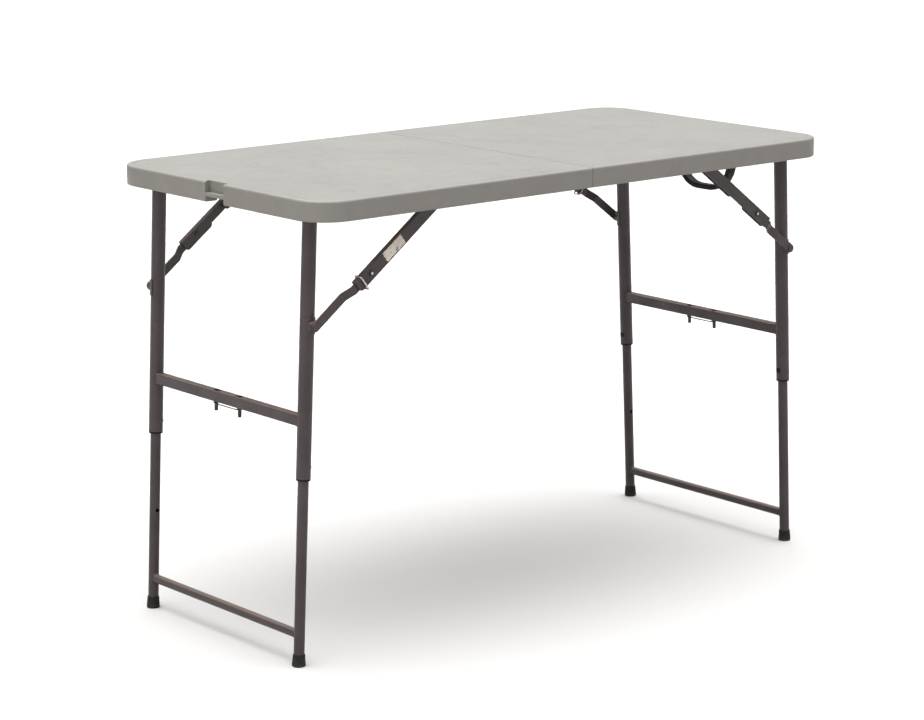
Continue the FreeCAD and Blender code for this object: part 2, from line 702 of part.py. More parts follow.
def make_stretcher():
    """Round tube that joins the two lower tubes just above the feet."""
    place = {"x": "0", "z": "-Dims.stretcher_drop"}
    skin = cylinder("StretcherSkin", "Y", "Dims.stretcher_radius", "-Dims.leg_offset",
                    "Dims.leg_offset", place)
    bore = cylinder("StretcherBore", "Y", "Dims.stretcher_radius - Dims.stretcher_wall",
                    "-Dims.leg_offset - 1", "Dims.leg_offset + 1", place)
    copes = [cylinder(label + "StretcherCope", "Z", "Dims.inner_tube_radius",
                      "-Dims.stretcher_drop - 20", "-Dims.stretcher_drop + 20",
                      {"x": "0", "y": f"{sign}Dims.leg_offset"})
             for label, sign in (("Front", "-"), ("Rear", ""))]
    keep_pair("stretcher", seat_on_leg(cut("Stretcher", skin, [bore] + copes)))


# ---------------------------------------------------------------- height lock

def make_lock_rod():
    """Sliding lock rod in the crossbar with its finger pin through the slots."""
    height = "-Dims.crossbar_drop"
    tip = "-(Dims.leg_offset - Dims.inner_tube_radius - Dims.lock_rod_play)"
    rod = cylinder("LockRodBar", "Y", "Dims.lock_rod_radius", tip, "-Dims.lock_rod_inner_end",
                   {"x": "0", "z": height})
    pin = cylinder("FingerPin", "Z", "Dims.finger_pin_radius",
                   f"{height} - Dims.finger_pin_drop", f"{height} + Dims.finger_pin_rise",
                   {"x": "0", "y": "-Dims.finger_pin_offset"})
    blank = fuse("LockRodBlank", [rod, pin])
    foot = -size_of("crossbar_drop") - size_of("finger_pin_drop")
    rounded = round_edges("LockRodRounded", blank, "spring_wire_radius",
                          lambda b: near(b.ZMax, foot) and near(b.ZMin, foot))
    keep_four("lock_rod", seat_on_leg(rounded))


def make_lock_spring():
    """Bowed wire spring under the crossbar with an eye round each finger pin."""
    wire = size_of("spring_wire_radius")
    eye = size_of("finger_pin_radius") + wire + size_of("rivet_play")
    offset, height = size_of("finger_pin_offset"), -size_of("crossbar_drop") - size_of("spring_drop")
    start = Vector(0, -(offset - eye), height)
    middle = Vector(0, 0, height - size_of("spring_bow"))
    end = Vector(0, offset - eye, height)
    path = Part.Wire([Part.Arc(start, middle, end).toShape()])
    along = path.Edges[0].tangentAt(path.Edges[0].FirstParameter)
    section = Part.Wire([Part.Circle(start, along, wire).toShape()])
    solids = [path.makePipeShell([section], True, False)]
    for y in (-offset, offset):
        solids.append(Part.makeTorus(eye, wire, Vector(0, y, height)))
    spring = doc.addObject("Part::Feature", "LockSpring")
    spring.Shape = solids[0].multiFuse(solids[1:]).removeSplitter()
    keep_pair("lock_spring", seat_on_leg(spring))


# ---------------------------------------------------------------- folding braces

CHANNEL_OUTER = "-(Dims.brace_plane + Dims.channel_depth / 2)"
CHANNEL_INNER = "-(Dims.brace_plane - Dims.channel_depth / 2)"


def make_upper_brace():
    """Upper brace: a channel whose web faces the table's corner. The inner flange has a
    window that the cranked lower brace drops into when the leg folds."""
    width = ("-Dims.channel_half_width", "Dims.channel_half_width")
    end = "Dims.upper_brace_length + Dims.channel_overhang"
    outer = (CHANNEL_OUTER, f"{CHANNEL_OUTER} + Dims.channel_wall")
    inner = (f"{CHANNEL_INNER} - Dims.channel_wall", CHANNEL_INNER)
    anchor = {"x": "0", "z": "0"}
    solids = [
        box("OuterFlange", ("0", end), outer, width),
        cylinder("OuterFlangeEye", "Y", "Dims.channel_half_width", *outer, anchor),
        box("InnerFlangeHead", ("0", "Dims.channel_window_start"), inner, width),
        cylinder("InnerFlangeEye", "Y", "Dims.channel_half_width", *inner, anchor),
        box("InnerFlangeTail", ("Dims.channel_window_end", end), inner, width),
        box("ChannelWeb", ("Dims.channel_half_width / 2", end), (CHANNEL_OUTER, CHANNEL_INNER),
            ("Dims.channel_half_width - Dims.channel_wall", "Dims.channel_half_width")),
    ]
    blank = fuse("ChannelBlank", solids)
    tail = size_of("upper_brace_length") + size_of("channel_overhang")
    window_ends = (size_of("channel_window_start"), size_of("channel_window_end"))
    half_width = size_of("channel_half_width")
    rounded = round_edges(
        "ChannelRounded", blank, "channel_end_round",
        lambda b: b.YLength < 2 and b.XLength < 0.01 and b.ZLength < 0.01
        and near(b.ZMin, -half_width) and (near(b.XMin, tail) or near(b.XMin, window_ends[0])
                                           or near(b.XMin, window_ends[1])))
    anchor_hole = cylinder("ChannelAnchorHole", "Y", "Dims.rivet_radius + Dims.rivet_play",
                           f"{CHANNEL_OUTER} - 5", f"{CHANNEL_INNER} + 5", anchor)
    joint_hole = cylinder("ChannelJointHole", "Y", "Dims.rivet_radius",
                          f"{CHANNEL_OUTER} - 5", f"{CHANNEL_INNER} + 5",
                          {"x": "Dims.upper_brace_length", "z": "0"})
    channel = cut("Channel", rounded, [anchor_hole, joint_hole])
    keep_four("upper_brace", seat_on_brace(channel))


def make_lower_brace():
    """Lower brace: a flat strap with rounded ends, cranked inwards to reach the leg."""
    body = doc.addObject("PartDesign::Body", "Strap")
    joint = "Dims.upper_brace_length"
    start, end = f"{joint} - Dims.strap_width / 2", f"{joint} + Dims.lower_brace_length + Dims.strap_width / 2"
    bend, out = f"{joint} + Dims.joggle_start", f"{joint} + Dims.joggle_end"
    half = "Dims.strap_thickness / 2"
    profile = sketch_outline(body, "StrapProfile", "XY_Plane", [
        (start, f"-(Dims.brace_plane + {half})"), (bend, f"-(Dims.brace_plane + {half})"),
        (out, f"-(Dims.brace_foot_plane + {half})"), (end, f"-(Dims.brace_foot_plane + {half})"),
        (end, f"-(Dims.brace_foot_plane - {half})"), (out, f"-(Dims.brace_foot_plane - {half})"),
        (bend, f"-(Dims.brace_plane - {half})"), (start, f"-(Dims.brace_plane - {half})"),
    ])
    pad(body, "StrapPad", profile, "Dims.strap_width", midplane=True)
    ends = [("StrapJointEnd", joint), ("StrapFootEnd", f"{joint} + Dims.lower_brace_length")]
    across = ("-(Dims.brace_plane + 20)", "-(Dims.brace_foot_plane - 20)")
    half_width = "Dims.strap_width / 2"
    stadium = [box("StrapRun", (joint, ends[1][1]), across, (f"-{half_width}", half_width))]
    stadium += [cylinder(name, "Y", half_width, *across, {"x": x, "z": "0"}) for name, x in ends]
    trimmed = doc.addObject("Part::MultiCommon", "StrapTrimmed")
    trimmed.Shapes = [body, fuse("StrapOutline", stadium)]
    holes = [cylinder(name + "Hole", "Y", "Dims.rivet_radius + Dims.rivet_play", *across,
                      {"x": x, "z": "0"}) for name, x in ends]
    keep_four("lower_brace", seat_on_brace(cut("StrapDrilled", trimmed, holes)))


def make_brace_rivets():
    """The joint rivet through channel and strap, and the foot rivet in the strap's end."""
    place = {"x": "Dims.upper_brace_length", "z": "0"}
    shank = cylinder("JointShank", "Y", "Dims.rivet_radius", CHANNEL_OUTER, CHANNEL_INNER, place)
    heads = [cylinder("JointOuterHead", "Y", "Dims.rivet_head_radius",
                      f"{CHANNEL_OUTER} - Dims.rivet_head_height", CHANNEL_OUTER, place),
             cylinder("JointInnerHead", "Y", "Dims.rivet_head_radius", CHANNEL_INNER,
                      f"{CHANNEL_INNER} + Dims.rivet_head_height", place)]
    keep_four("brace_joint_rivet", seat_on_brace(fuse("JointRivet", [shank] + heads)))
    place = {"x": "Dims.upper_brace_length + Dims.lower_brace_length", "z": "0"}
    face = "-(Dims.brace_foot_plane + Dims.strap_thickness / 2)"
    shank = cylinder("FootShank", "Y", "Dims.rivet_radius", face,
                     "-(Dims.brace_foot_plane - Dims.strap_thickness / 2)", place)
    head = cylinder("FootHead", "Y", "Dims.foot_rivet_head_radius",
                    f"{face} - Dims.rivet_head_height", face, place)
    rivet = fuse("FootRivetBlank", [shank, head])
    outer_face = -(size_of("brace_foot_plane") + size_of("strap_thickness") / 2
                   + size_of("rivet_head_height"))
    domed = round_edges("FootRivet", rivet, "rivet_dome",
                        lambda b: near(b.YMin, outer_face) and near(b.YMax, outer_face))
    keep_four("brace_foot_rivet", seat_on_brace(domed))


def make_brace_saddles():
    """Pressed saddle on the outer side of each leg, with a boss under the brace's foot."""
    drop, half = "Dims.brace_foot_drop", "Dims.saddle_height / 2"
    wrap = leg_cylinder("SaddleWrap", "Dims.outer_tube_radius + Dims.saddle_thickness",
                        f"{drop} - {half}", f"{drop} + {half}")
    boss = cylinder("SaddleBoss", "Y", "Dims.saddle_boss_radius", "-Dims.saddle_end",
                    "-Dims.leg_offset", {"x": "0", "z": f"-{drop}"})
    leg = leg_cylinder("SaddleBore", "Dims.outer_tube_radius", f"{drop} - {half} - 1",
                       f"{drop} + {half} + 1")
    inside = box("SaddleInside", ("-30", "30"), ("-Dims.leg_offset + 2", "-Dims.leg_offset + 40"),
                 (f"-{drop} - {half} - 1", f"-{drop} + {half} + 1"))
    saddle = cut("Saddle", fuse("SaddleBlank", [wrap, boss]), [leg, inside])
    keep_pair_of_groups("brace_saddles", seat_on_leg(saddle))


def make_lock_rings():
    """Loose wire rings round the left front and right rear upper braces, one for each leg
    frame; a ring keeps its brace from folding."""
    place, wire = size_of("ring_place"), size_of("ring_wire_radius")
    plane, depth, bend = size_of("brace_plane"), size_of("ring_half_depth"), size_of("ring_corner")
    low, high = size_of("ring_bottom"), size_of("ring_top")
    near_y, far_y = -plane - depth, -plane + depth
    slant = bend * (1 - math.sqrt(0.5))
    runs = [((near_y + bend, low), (far_y - bend, low)), ((far_y, low + bend), (far_y, high - bend)),
            ((far_y - bend, high), (near_y + bend, high)), ((near_y, high - bend), (near_y, low + bend))]
    turns = [(far_y - slant, low + slant), (far_y - slant, high - slant),
             (near_y + slant, high - slant), (near_y + slant, low + slant)]

    def point(pair):
        return Vector(place, pair[0], pair[1])

    edges = []
    for i, (run, turn) in enumerate(zip(runs, turns)):
        following = runs[(i + 1) % 4]
        edges.append(Part.LineSegment(point(run[0]), point(run[1])).toShape())
        edges.append(Part.Arc(point(run[1]), point(turn), point(following[0])).toShape())
    path = Part.Wire(edges)
    section = Part.Wire([Part.Circle(point(runs[0][0]), Vector(0, 1, 0), wire).toShape()])
    ring = doc.addObject("Part::Feature", "LockRing")
    ring.Shape = path.makePipeShell([section], True, False)
    seat_on_brace(ring)
    keep("left_brace_lock_ring", mirror("MirrorRing", ring, "X"))
    keep("right_brace_lock_ring", mirror("MirrorRingRear", ring, "Y"))


# ---------------------------------------------------------------- carrying handle

def make_handle():
    """Carrying handle: a U-shaped grip hanging under the right-hand end rim."""
    body = doc.addObject("PartDesign::Body", "Handle")
    outer, inner = "Dims.handle_half_width", "Dims.handle_half_width - Dims.handle_thickness"
    top, foot = "Dims.handle_thickness", "-Dims.handle_drop"
    profile = sketch_outline(body, "HandleProfile", "YZ_Plane", [
        (f"-{outer}", top), (f"-{outer}", foot), (outer, foot), (outer, top),
        (inner, top), (inner, f"{foot} + Dims.handle_thickness"),
        (f"-({inner})", f"{foot} + Dims.handle_thickness"), (f"-({inner})", top),
    ])
    pad(body, "HandlePad", profile, "Dims.handle_breadth", midplane=True)
    half_width, thickness, drop = (size_of("handle_half_width"), size_of("handle_thickness"),
                                   size_of("handle_drop"))
    fillet(body, "HandleOuterBends", "Dims.handle_bend",
           lambda b: b.XLength > 10 and near(abs(b.YMin), half_width) and near(b.ZMin, -drop))
    fillet(body, "HandleInnerBends", "Dims.handle_bend - Dims.handle_thickness",
           lambda b: b.XLength > 10 and near(abs(b.YMin), half_width - thickness)
           and near(b.ZMin, thickness - drop))
    fillet(body, "HandleHead", "Dims.handle_head_round",
           lambda b: near(b.YLength, thickness) and near(b.ZMin, thickness))
    half_breadth = size_of("handle_breadth") / 2
    fillet(body, "HandleGrip", "Dims.handle_round",
           lambda b: near(abs(b.XMin), half_breadth) and near(abs(b.XMax), half_breadth)
           and b.ZMax < 5 and b.XLength < 0.01)
    pin_hole = cylinder("HandlePinHole", "Y", "Dims.handle_pin_radius + Dims.rivet_play",
                        "-Dims.handle_half_width - 5", "Dims.handle_half_width + 5",
                        {"x": "0", "z": "0"})
    handle = cut("HandleDrilled", body, [pin_hole])
    keep("carry_handle", seat(handle, "Dims.handle_reach", "Dims.handle_pivot_height", "0",
                              "Dims.handle_middle"))


def make_handle_brackets():
    """A plate under the rim with a lug and a stub pin for each end of the handle."""
    pivot = {"x": "Dims.handle_reach", "z": "Dims.handle_pivot_height"}
    lug_out = "Dims.handle_middle - Dims.handle_half_width - Dims.hinge_play"
    lug_in = f"{lug_out} - Dims.handle_lug_thickness"
    arm_inside = "Dims.handle_middle - Dims.handle_half_width + Dims.handle_thickness"
    half = "Dims.handle_breadth / 2"
    span = (f"Dims.handle_reach - {half}", f"Dims.handle_reach + {half}")
    plate = box("BracketPlate", span, (f"{lug_in} - 14", arm_inside),
                (f"{RIM_BOTTOM} - Dims.handle_plate_thickness", RIM_BOTTOM))
    lug = box("BracketLug", span, (lug_in, lug_out),
              ("Dims.handle_pivot_height", f"{RIM_BOTTOM} - 1"))
    lug_eye = cylinder("BracketEye", "Y", half, lug_in, lug_out, pivot)
    stub = cylinder("BracketPin", "Y", "Dims.handle_pin_radius", lug_in, arm_inside, pivot)
    bracket = fuse("Bracket", [plate, lug, lug_eye, stub])
    rear = mirror("BracketRear", bracket, "Y")
    bind(rear, {"Base.y": "Dims.handle_middle"})
    keep("handle_brackets", group("Brackets", [bracket, rear]))


make_top_halves()
make_rails()
make_rail_screws()
make_anchor_pins()
make_hinges()
make_pivot_tube()
make_outer_tube()
make_inner_tube()
make_leg_bushes()
make_glide_plugs()
make_feet()
make_crossbar()
make_stretcher()
make_lock_rod()
make_lock_spring()
make_upper_brace()
make_lower_brace()
make_brace_rivets()
make_brace_saddles()
make_lock_rings()
make_handle()
make_handle_brackets()

# ---------------------------------------------------------------- checks and export

doc.recompute()
for piece in doc.Objects:
    if "Invalid" in piece.State or "Error" in piece.State:
        raise RuntimeError(f"{piece.Name} did not recompute: {piece.State}")
for name, piece in nodes.items():
    if piece.Shape.isNull() or not piece.Shape.isValid() or not piece.Shape.Solids:
        raise RuntimeError(f"{name} has no valid shape")

os.makedirs("parts", exist_ok=True)
for name, piece in nodes.items():
    piece.Shape.exportStep(f"parts/{piece.Label}.step")
print(len(nodes), "sub-parts written")
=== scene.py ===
"""A folding utility table: studio, materials and the detailed pieces around its CAD frame."""

import json
import math

import bmesh
import bpy
from mathutils import Matrix, Vector


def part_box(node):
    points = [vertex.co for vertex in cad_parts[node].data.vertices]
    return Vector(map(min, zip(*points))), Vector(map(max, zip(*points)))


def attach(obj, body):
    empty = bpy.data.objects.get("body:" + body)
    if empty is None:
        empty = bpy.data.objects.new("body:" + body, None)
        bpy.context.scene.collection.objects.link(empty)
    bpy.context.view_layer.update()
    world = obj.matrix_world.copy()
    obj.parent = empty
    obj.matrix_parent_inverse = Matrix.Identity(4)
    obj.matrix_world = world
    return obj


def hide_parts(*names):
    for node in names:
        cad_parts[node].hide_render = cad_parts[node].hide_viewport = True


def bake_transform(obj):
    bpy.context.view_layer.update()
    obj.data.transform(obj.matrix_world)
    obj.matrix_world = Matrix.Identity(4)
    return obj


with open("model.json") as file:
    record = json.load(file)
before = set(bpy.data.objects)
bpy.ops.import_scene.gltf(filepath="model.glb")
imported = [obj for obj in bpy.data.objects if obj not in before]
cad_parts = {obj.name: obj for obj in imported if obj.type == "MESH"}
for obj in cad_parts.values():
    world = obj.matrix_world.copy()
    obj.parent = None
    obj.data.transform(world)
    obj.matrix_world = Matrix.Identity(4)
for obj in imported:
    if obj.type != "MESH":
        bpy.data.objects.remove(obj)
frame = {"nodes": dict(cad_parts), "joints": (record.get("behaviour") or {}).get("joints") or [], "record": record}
nodes = frame["nodes"]
joints = {joint["name"]: joint for joint in frame["joints"]}
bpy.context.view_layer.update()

# ---------------------------------------------------------------- camera and studio

CAMERA_PLACE = Vector((-3.3821, -3.9584, 1.5640))
CAMERA_YAW = 0.70011
CAMERA_PITCH = 0.21711
CAMERA_ROLL = -0.00193
CAMERA_LENS = 110.34
SENSOR_WIDTH = 36.0

FLOOR_HALF = 40.0
FLOOR_COLOR = (0.460, 0.455, 0.448)
SKY_ZENITH = 9.1
SKY_HORIZON = 0.03
SKY_FALLOFF = 4.5
HORIZON_GLOW = 1.05
GLOW_TOP = 0.13
GLOW_FADE = 0.05
KEY_POWER = 26.0
KEY_SIZE = (3.0, 2.0)
KEY_COLOR = (1.0, 0.98, 0.95)
KEY_PLACE = Vector((-3.4, -0.5, 1.6))
KEY_AIM = Vector((-0.5, 0, 0.75))


def make_camera():
    """A long lens at eye height, looking down at the table over its left front corner."""
    forward = Vector((
        math.sin(CAMERA_YAW) * math.cos(CAMERA_PITCH),
        math.cos(CAMERA_YAW) * math.cos(CAMERA_PITCH),
        -math.sin(CAMERA_PITCH),
    ))
    right = Vector((math.cos(CAMERA_YAW), -math.sin(CAMERA_YAW), 0.0))
    up = right.cross(forward)
    turn = Matrix((right, up, -forward)).transposed() @ Matrix.Rotation(CAMERA_ROLL, 3, "Z")
    data = bpy.data.cameras.new("Camera")
    data.lens = CAMERA_LENS
    data.sensor_width = SENSOR_WIDTH
    data.clip_end = 200.0
    camera = bpy.data.objects.new("Camera", data)
    camera.matrix_world = Matrix.Translation(CAMERA_PLACE) @ turn.to_4x4()
    bpy.context.scene.collection.objects.link(camera)
    bpy.context.scene.camera = camera


def make_light():
    """A bright overhead sky over a thin pale horizon, and one broad low lamp from the left."""
    world = bpy.data.worlds.new("Studio")
    bpy.context.scene.world = world
    world.use_nodes = True
    tree = world.node_tree
    background = tree.nodes["Background"]
    direction = tree.nodes.new("ShaderNodeTexCoord")
    split = tree.nodes.new("ShaderNodeSeparateXYZ")
    tree.links.new(direction.outputs["Generated"], split.inputs[0])
    falloff = tree.nodes.new("ShaderNodeMath")
    falloff.operation = "POWER"
    falloff.use_clamp = True
    falloff.inputs[1].default_value = SKY_FALLOFF
    tree.links.new(split.outputs["Z"], falloff.inputs[0])
    height = tree.nodes.new("ShaderNodeMapRange")
    height.inputs["To Min"].default_value = SKY_HORIZON
    height.inputs["To Max"].default_value = SKY_ZENITH
    tree.links.new(falloff.outputs[0], height.inputs["Value"])
    glow = tree.nodes.new("ShaderNodeMapRange")
    glow.interpolation_type = "SMOOTHSTEP"
    glow.inputs["From Min"].default_value = GLOW_TOP
    glow.inputs["From Max"].default_value = GLOW_TOP + GLOW_FADE
    glow.inputs["To Min"].default_value = HORIZON_GLOW
    glow.inputs["To Max"].default_value = 0.0
    tree.links.new(split.outputs["Z"], glow.inputs["Value"])
    total = tree.nodes.new("ShaderNodeMath")
    tree.links.new(height.outputs[0], total.inputs[0])
    tree.links.new(glow.outputs[0], total.inputs[1])
    tree.links.new(total.outputs[0], background.inputs["Strength"])
    background.inputs["Color"].default_value = (1.0, 1.0, 1.0, 1.0)

    lamp = bpy.data.lights.new("Key", "AREA")
    lamp.shape = "RECTANGLE"
    lamp.size, lamp.size_y = KEY_SIZE
    lamp.energy = KEY_POWER
    lamp.color = KEY_COLOR
    key = bpy.data.objects.new("Key", lamp)
    turn = (KEY_AIM - KEY_PLACE).to_track_quat("-Z", "Y").to_matrix()
    key.matrix_world = Matrix.Translation(KEY_PLACE) @ turn.to_4x4()
    bpy.context.scene.collection.objects.link(key)


# ---------------------------------------------------------------- material building blocks

class Shader:
    """A principled material and the few node-graph moves that its surfaces share."""

    def __init__(self, name):
        self.material = bpy.data.materials.new(name)
        self.material.use_nodes = True
        self.tree = self.material.node_tree
        self.principled = self.tree.nodes["Principled BSDF"]
        self.place = self.tree.nodes.new("ShaderNodeTexCoord").outputs["Object"]

    def link(self, source, target):
        self.tree.links.new(source, target)

    def set(self, **sockets):
        for name, value in sockets.items():
            self.principled.inputs[name.replace("_", " ")].default_value = value

    def stretched(self, scale):
        node = self.tree.nodes.new("ShaderNodeMapping")
        node.inputs["Scale"].default_value = scale
        self.link(self.place, node.inputs["Vector"])
        return node.outputs[0]

    def noise(self, scale, detail=4.0, roughness=0.55, place=None):
        node = self.tree.nodes.new("ShaderNodeTexNoise")
        node.inputs["Scale"].default_value = scale
        node.inputs["Detail"].default_value = detail
        node.inputs["Roughness"].default_value = roughness
        self.link(place or self.place, node.inputs["Vector"])
        return node.outputs["Fac"]

    def facing_up(self):
        """How far the surface faces the sky, from -1 to 1."""
        surface = self.tree.nodes.new("ShaderNodeNewGeometry")
        split = self.tree.nodes.new("ShaderNodeSeparateXYZ")
        self.link(surface.outputs["Normal"], split.inputs[0])
        return split.outputs["Z"]

    def cells(self, scale):
        node = self.tree.nodes.new("ShaderNodeTexVoronoi")
        node.feature = "SMOOTH_F1"
        node.inputs["Scale"].default_value = scale
        self.link(self.place, node.inputs["Vector"])
        return node.outputs["Distance"]

    def remap(self, value, low, high, to_low=0.0, to_high=1.0):
        node = self.tree.nodes.new("ShaderNodeMapRange")
        node.interpolation_type = "SMOOTHSTEP"
        node.inputs["From Min"].default_value = low
        node.inputs["From Max"].default_value = high
        node.inputs["To Min"].default_value = to_low
        node.inputs["To Max"].default_value = to_high
        self.link(value, node.inputs["Value"])
        return node.outputs[0]

    def math(self, operation, first, second=None):
        node = self.tree.nodes.new("ShaderNodeMath")
        node.operation = operation
        for socket, value in zip(node.inputs, (first, second)):
            if value is None:
                continue
            if isinstance(value, (int, float)):
                socket.default_value = value
            else:
                self.link(value, socket)
        return node.outputs[0]

    def mix(self, factor, first, second):
        node = self.tree.nodes.new("ShaderNodeMix")
        node.data_type = "RGBA"
        self.link(factor, node.inputs["Factor"])
        for socket, value in ((node.inputs[6], first), (node.inputs[7], second)):
            if isinstance(value, tuple):
                socket.default_value = (*value, 1.0)
            else:
                self.link(value, socket)
        return node.outputs[2]

    def color(self, value):
        self.link(value, self.principled.inputs["Base Color"])

    def roughness(self, value):
        self.link(value, self.principled.inputs["Roughness"])

    def bump(self, height, depth, after=None):
        node = self.tree.nodes.new("ShaderNodeBump")
        node.inputs["Strength"].default_value = 1.0
        node.inputs["Distance"].default_value = depth
        self.link(height, node.inputs["Height"])
        if after is not None:
            self.link(after, node.inputs["Normal"])
        return node.outputs[0]

    def normal(self, value):
        self.link(value, self.principled.inputs["Normal"])


def shade(color, factor):
    """A colour made lighter or darker."""
    return tuple(channel * factor for channel in color)


# ---------------------------------------------------------------- materials

TOP_COLOR = (0.170, 0.164, 0.151)
PAINT_COLOR = (0.037, 0.027, 0.028)
# Colour of the random dust patches, also used as painted light on the frame's upward faces.
DUST_AND_TOP_LIGHT_COLOR = (0.130, 0.095, 0.078)
BLACK_PLASTIC_COLOR = (0.004, 0.004, 0.004)
RUBBER_COLOR = (0.007, 0.0065, 0.0065)
PLATED_COLOR = (0.50, 0.48, 0.45)
BLACK_STEEL_COLOR = (0.030, 0.028, 0.027)
PAPER_COLOR = (0.50, 0.45, 0.40)

TOP_CORNER_RADIUS = 0.064
TOP_BORDER = 0.013
TOP_BORDER_STEP = 0.0005
# Painted shade: how far the top's vertical sides are darkened, and the darker colour they go towards.
SIDE_PAINTED_SHADE = 0.34
SIDE_SHADE_COLOR = (0.082, 0.072, 0.058)


def edge_distance(shader):
    """Distance inside the table top's rounded outline."""
    low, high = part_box("left_top_half")[0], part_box("right_top_half")[1]
    corner = TOP_CORNER_RADIUS
    tree = shader.tree
    flat = shader.stretched((1.0, 1.0, 0.0))
    folded = tree.nodes.new("ShaderNodeVectorMath")
    folded.operation = "ABSOLUTE"
    shader.link(flat, folded.inputs[0])
    reach = tree.nodes.new("ShaderNodeVectorMath")
    reach.operation = "SUBTRACT"
    reach.inputs[1].default_value = (high.x - corner, (high.y - low.y) / 2 - corner, 0.0)
    shader.link(folded.outputs[0], reach.inputs[0])
    outside = tree.nodes.new("ShaderNodeVectorMath")
    outside.operation = "MAXIMUM"
    outside.inputs[1].default_value = (0.0, 0.0, 0.0)
    shader.link(reach.outputs[0], outside.inputs[0])
    length = tree.nodes.new("ShaderNodeVectorMath")
    length.operation = "LENGTH"
    shader.link(outside.outputs[0], length.inputs[0])
    split = tree.nodes.new("ShaderNodeSeparateXYZ")
    shader.link(reach.outputs[0], split.inputs[0])
    inner = shader.math("MINIMUM", shader.math("MAXIMUM", split.outputs[0], split.outputs[1]), 0.0)
    signed = shader.math("ADD", length.outputs["Value"], inner)
    return shader.math("SUBTRACT", corner, signed)


def make_top_plastic():
    """Warm grey blow-moulded polyethylene: pebbled, a little stained and scuffed by use, with painted shade on its
    vertical sides and along its border step.
    """
    shader = Shader("TopPlastic")
    blotches = shader.remap(shader.noise(5.0, 5.0), 0.35, 0.68)
    speckle = shader.remap(shader.noise(420.0, 2.0), 0.40, 0.62)
    clean = shader.mix(blotches, shade(TOP_COLOR, 0.94), shade(TOP_COLOR, 1.05))
    grained = shader.mix(speckle, clean, shade(TOP_COLOR, 1.10))
    scuffs = shader.remap(shader.noise(9.0, 8.0, 0.7, shader.stretched((3.0, 14.0, 8.0))),
                          0.66, 0.78, 0.0, 0.35)
    scuffed = shader.mix(scuffs, grained, shade(TOP_COLOR, 0.70))
    inside = edge_distance(shader)
    # Painted shade: a thin darker line drawn in the colour along the border step, besides the step's bump.
    line_in = shader.remap(inside, TOP_BORDER - 0.0022, TOP_BORDER)
    line_out = shader.remap(inside, TOP_BORDER + 0.0005, TOP_BORDER + 0.0030, 1.0, 0.0)
    border_shade = shader.math("MULTIPLY", shader.math("MULTIPLY", line_in, line_out), 0.35)
    border_shaded = shader.mix(border_shade, scuffed, shade(TOP_COLOR, 0.62))
    # Painted shade: faces that point sideways or down are mixed towards a darker colour, as if shaded from the
    # light overhead.
    side_shade = shader.remap(shader.facing_up(), 0.25, 0.80, SIDE_PAINTED_SHADE, 0.0)
    shader.color(shader.mix(side_shade, border_shaded, SIDE_SHADE_COLOR))
    shader.roughness(shader.remap(shader.noise(30.0, 4.0), 0.3, 0.7, 0.50, 0.68))
    border = shader.bump(shader.remap(inside, TOP_BORDER - 0.003, TOP_BORDER + 0.003, 1.0, 0.0),
                         TOP_BORDER_STEP)
    pebbles = shader.bump(shader.cells(520.0), 0.00022, border)
    shader.normal(shader.bump(shader.noise(60.0, 3.0), 0.00025, pebbles))
    return shader.material


def make_paint():
    """Dark taupe powder coat with a fine orange-peel skin, dusty and rubbed in places, and lighter on its upward
    faces as painted light.
    """
    shader = Shader("FramePaint")
    tone = shader.remap(shader.noise(14.0, 5.0), 0.35, 0.65)
    base = shader.mix(tone, shade(PAINT_COLOR, 0.88), shade(PAINT_COLOR, 1.14))
    dust = shader.remap(shader.noise(46.0, 6.0, 0.7), 0.60, 0.80, 0.0, 0.40)
    # Painted light: faces that point up are mixed towards the lighter dust colour, as if lit from above; the noise
    # above is real dust.
    top_painted_light = shader.remap(shader.facing_up(), 0.45, 0.95, 0.0, 0.75)
    dusty_and_top_lit = shader.mix(shader.math("MAXIMUM", dust, top_painted_light), base, DUST_AND_TOP_LIGHT_COLOR)
    nicks = shader.remap(shader.noise(150.0, 5.0, 0.65), 0.73, 0.77, 0.0, 0.7)
    shader.color(shader.mix(nicks, dusty_and_top_lit, (0.16, 0.145, 0.13)))
    shader.roughness(shader.remap(shader.noise(22.0, 4.0), 0.3, 0.7, 0.36, 0.52))
    peel = shader.bump(shader.noise(900.0, 2.0), 0.00006)
    shader.normal(shader.bump(nicks, -0.00004, peel))
    shader.set(Specular_IOR_Level=0.32)
    return shader.material


def make_black_plastic():
    """Black moulded nylon with a satin grain and greyed high spots."""
    shader = Shader("BlackPlastic")
    worn = shader.remap(shader.noise(60.0, 6.0, 0.7), 0.56, 0.80, 0.0, 0.3)
    shader.color(shader.mix(worn, BLACK_PLASTIC_COLOR, shade(BLACK_PLASTIC_COLOR, 3.4)))
    shader.roughness(shader.remap(shader.noise(90.0, 3.0), 0.3, 0.7, 0.34, 0.50))
    shader.normal(shader.bump(shader.cells(1100.0), 0.00008))
    shader.set(Specular_IOR_Level=0.12)
    return shader.material


def make_rubber():
    """Black rubber, dusty near the floor."""
    shader = Shader("BlackRubber")
    split = shader.tree.nodes.new("ShaderNodeSeparateXYZ")
    shader.link(shader.place, split.inputs[0])
    low = shader.remap(split.outputs["Z"], 0.0, 0.012, 0.75, 0.0)
    patchy = shader.math("MULTIPLY", low, shader.remap(shader.noise(220.0, 4.0), 0.35, 0.65))
    shader.color(shader.mix(patchy, RUBBER_COLOR, (0.045, 0.041, 0.037)))
    shader.roughness(shader.remap(shader.noise(120.0, 3.0), 0.3, 0.7, 0.62, 0.82))
    shader.normal(shader.bump(shader.noise(1300.0, 3.0), 0.00010))
    shader.set(Specular_IOR_Level=0.28)
    return shader.material


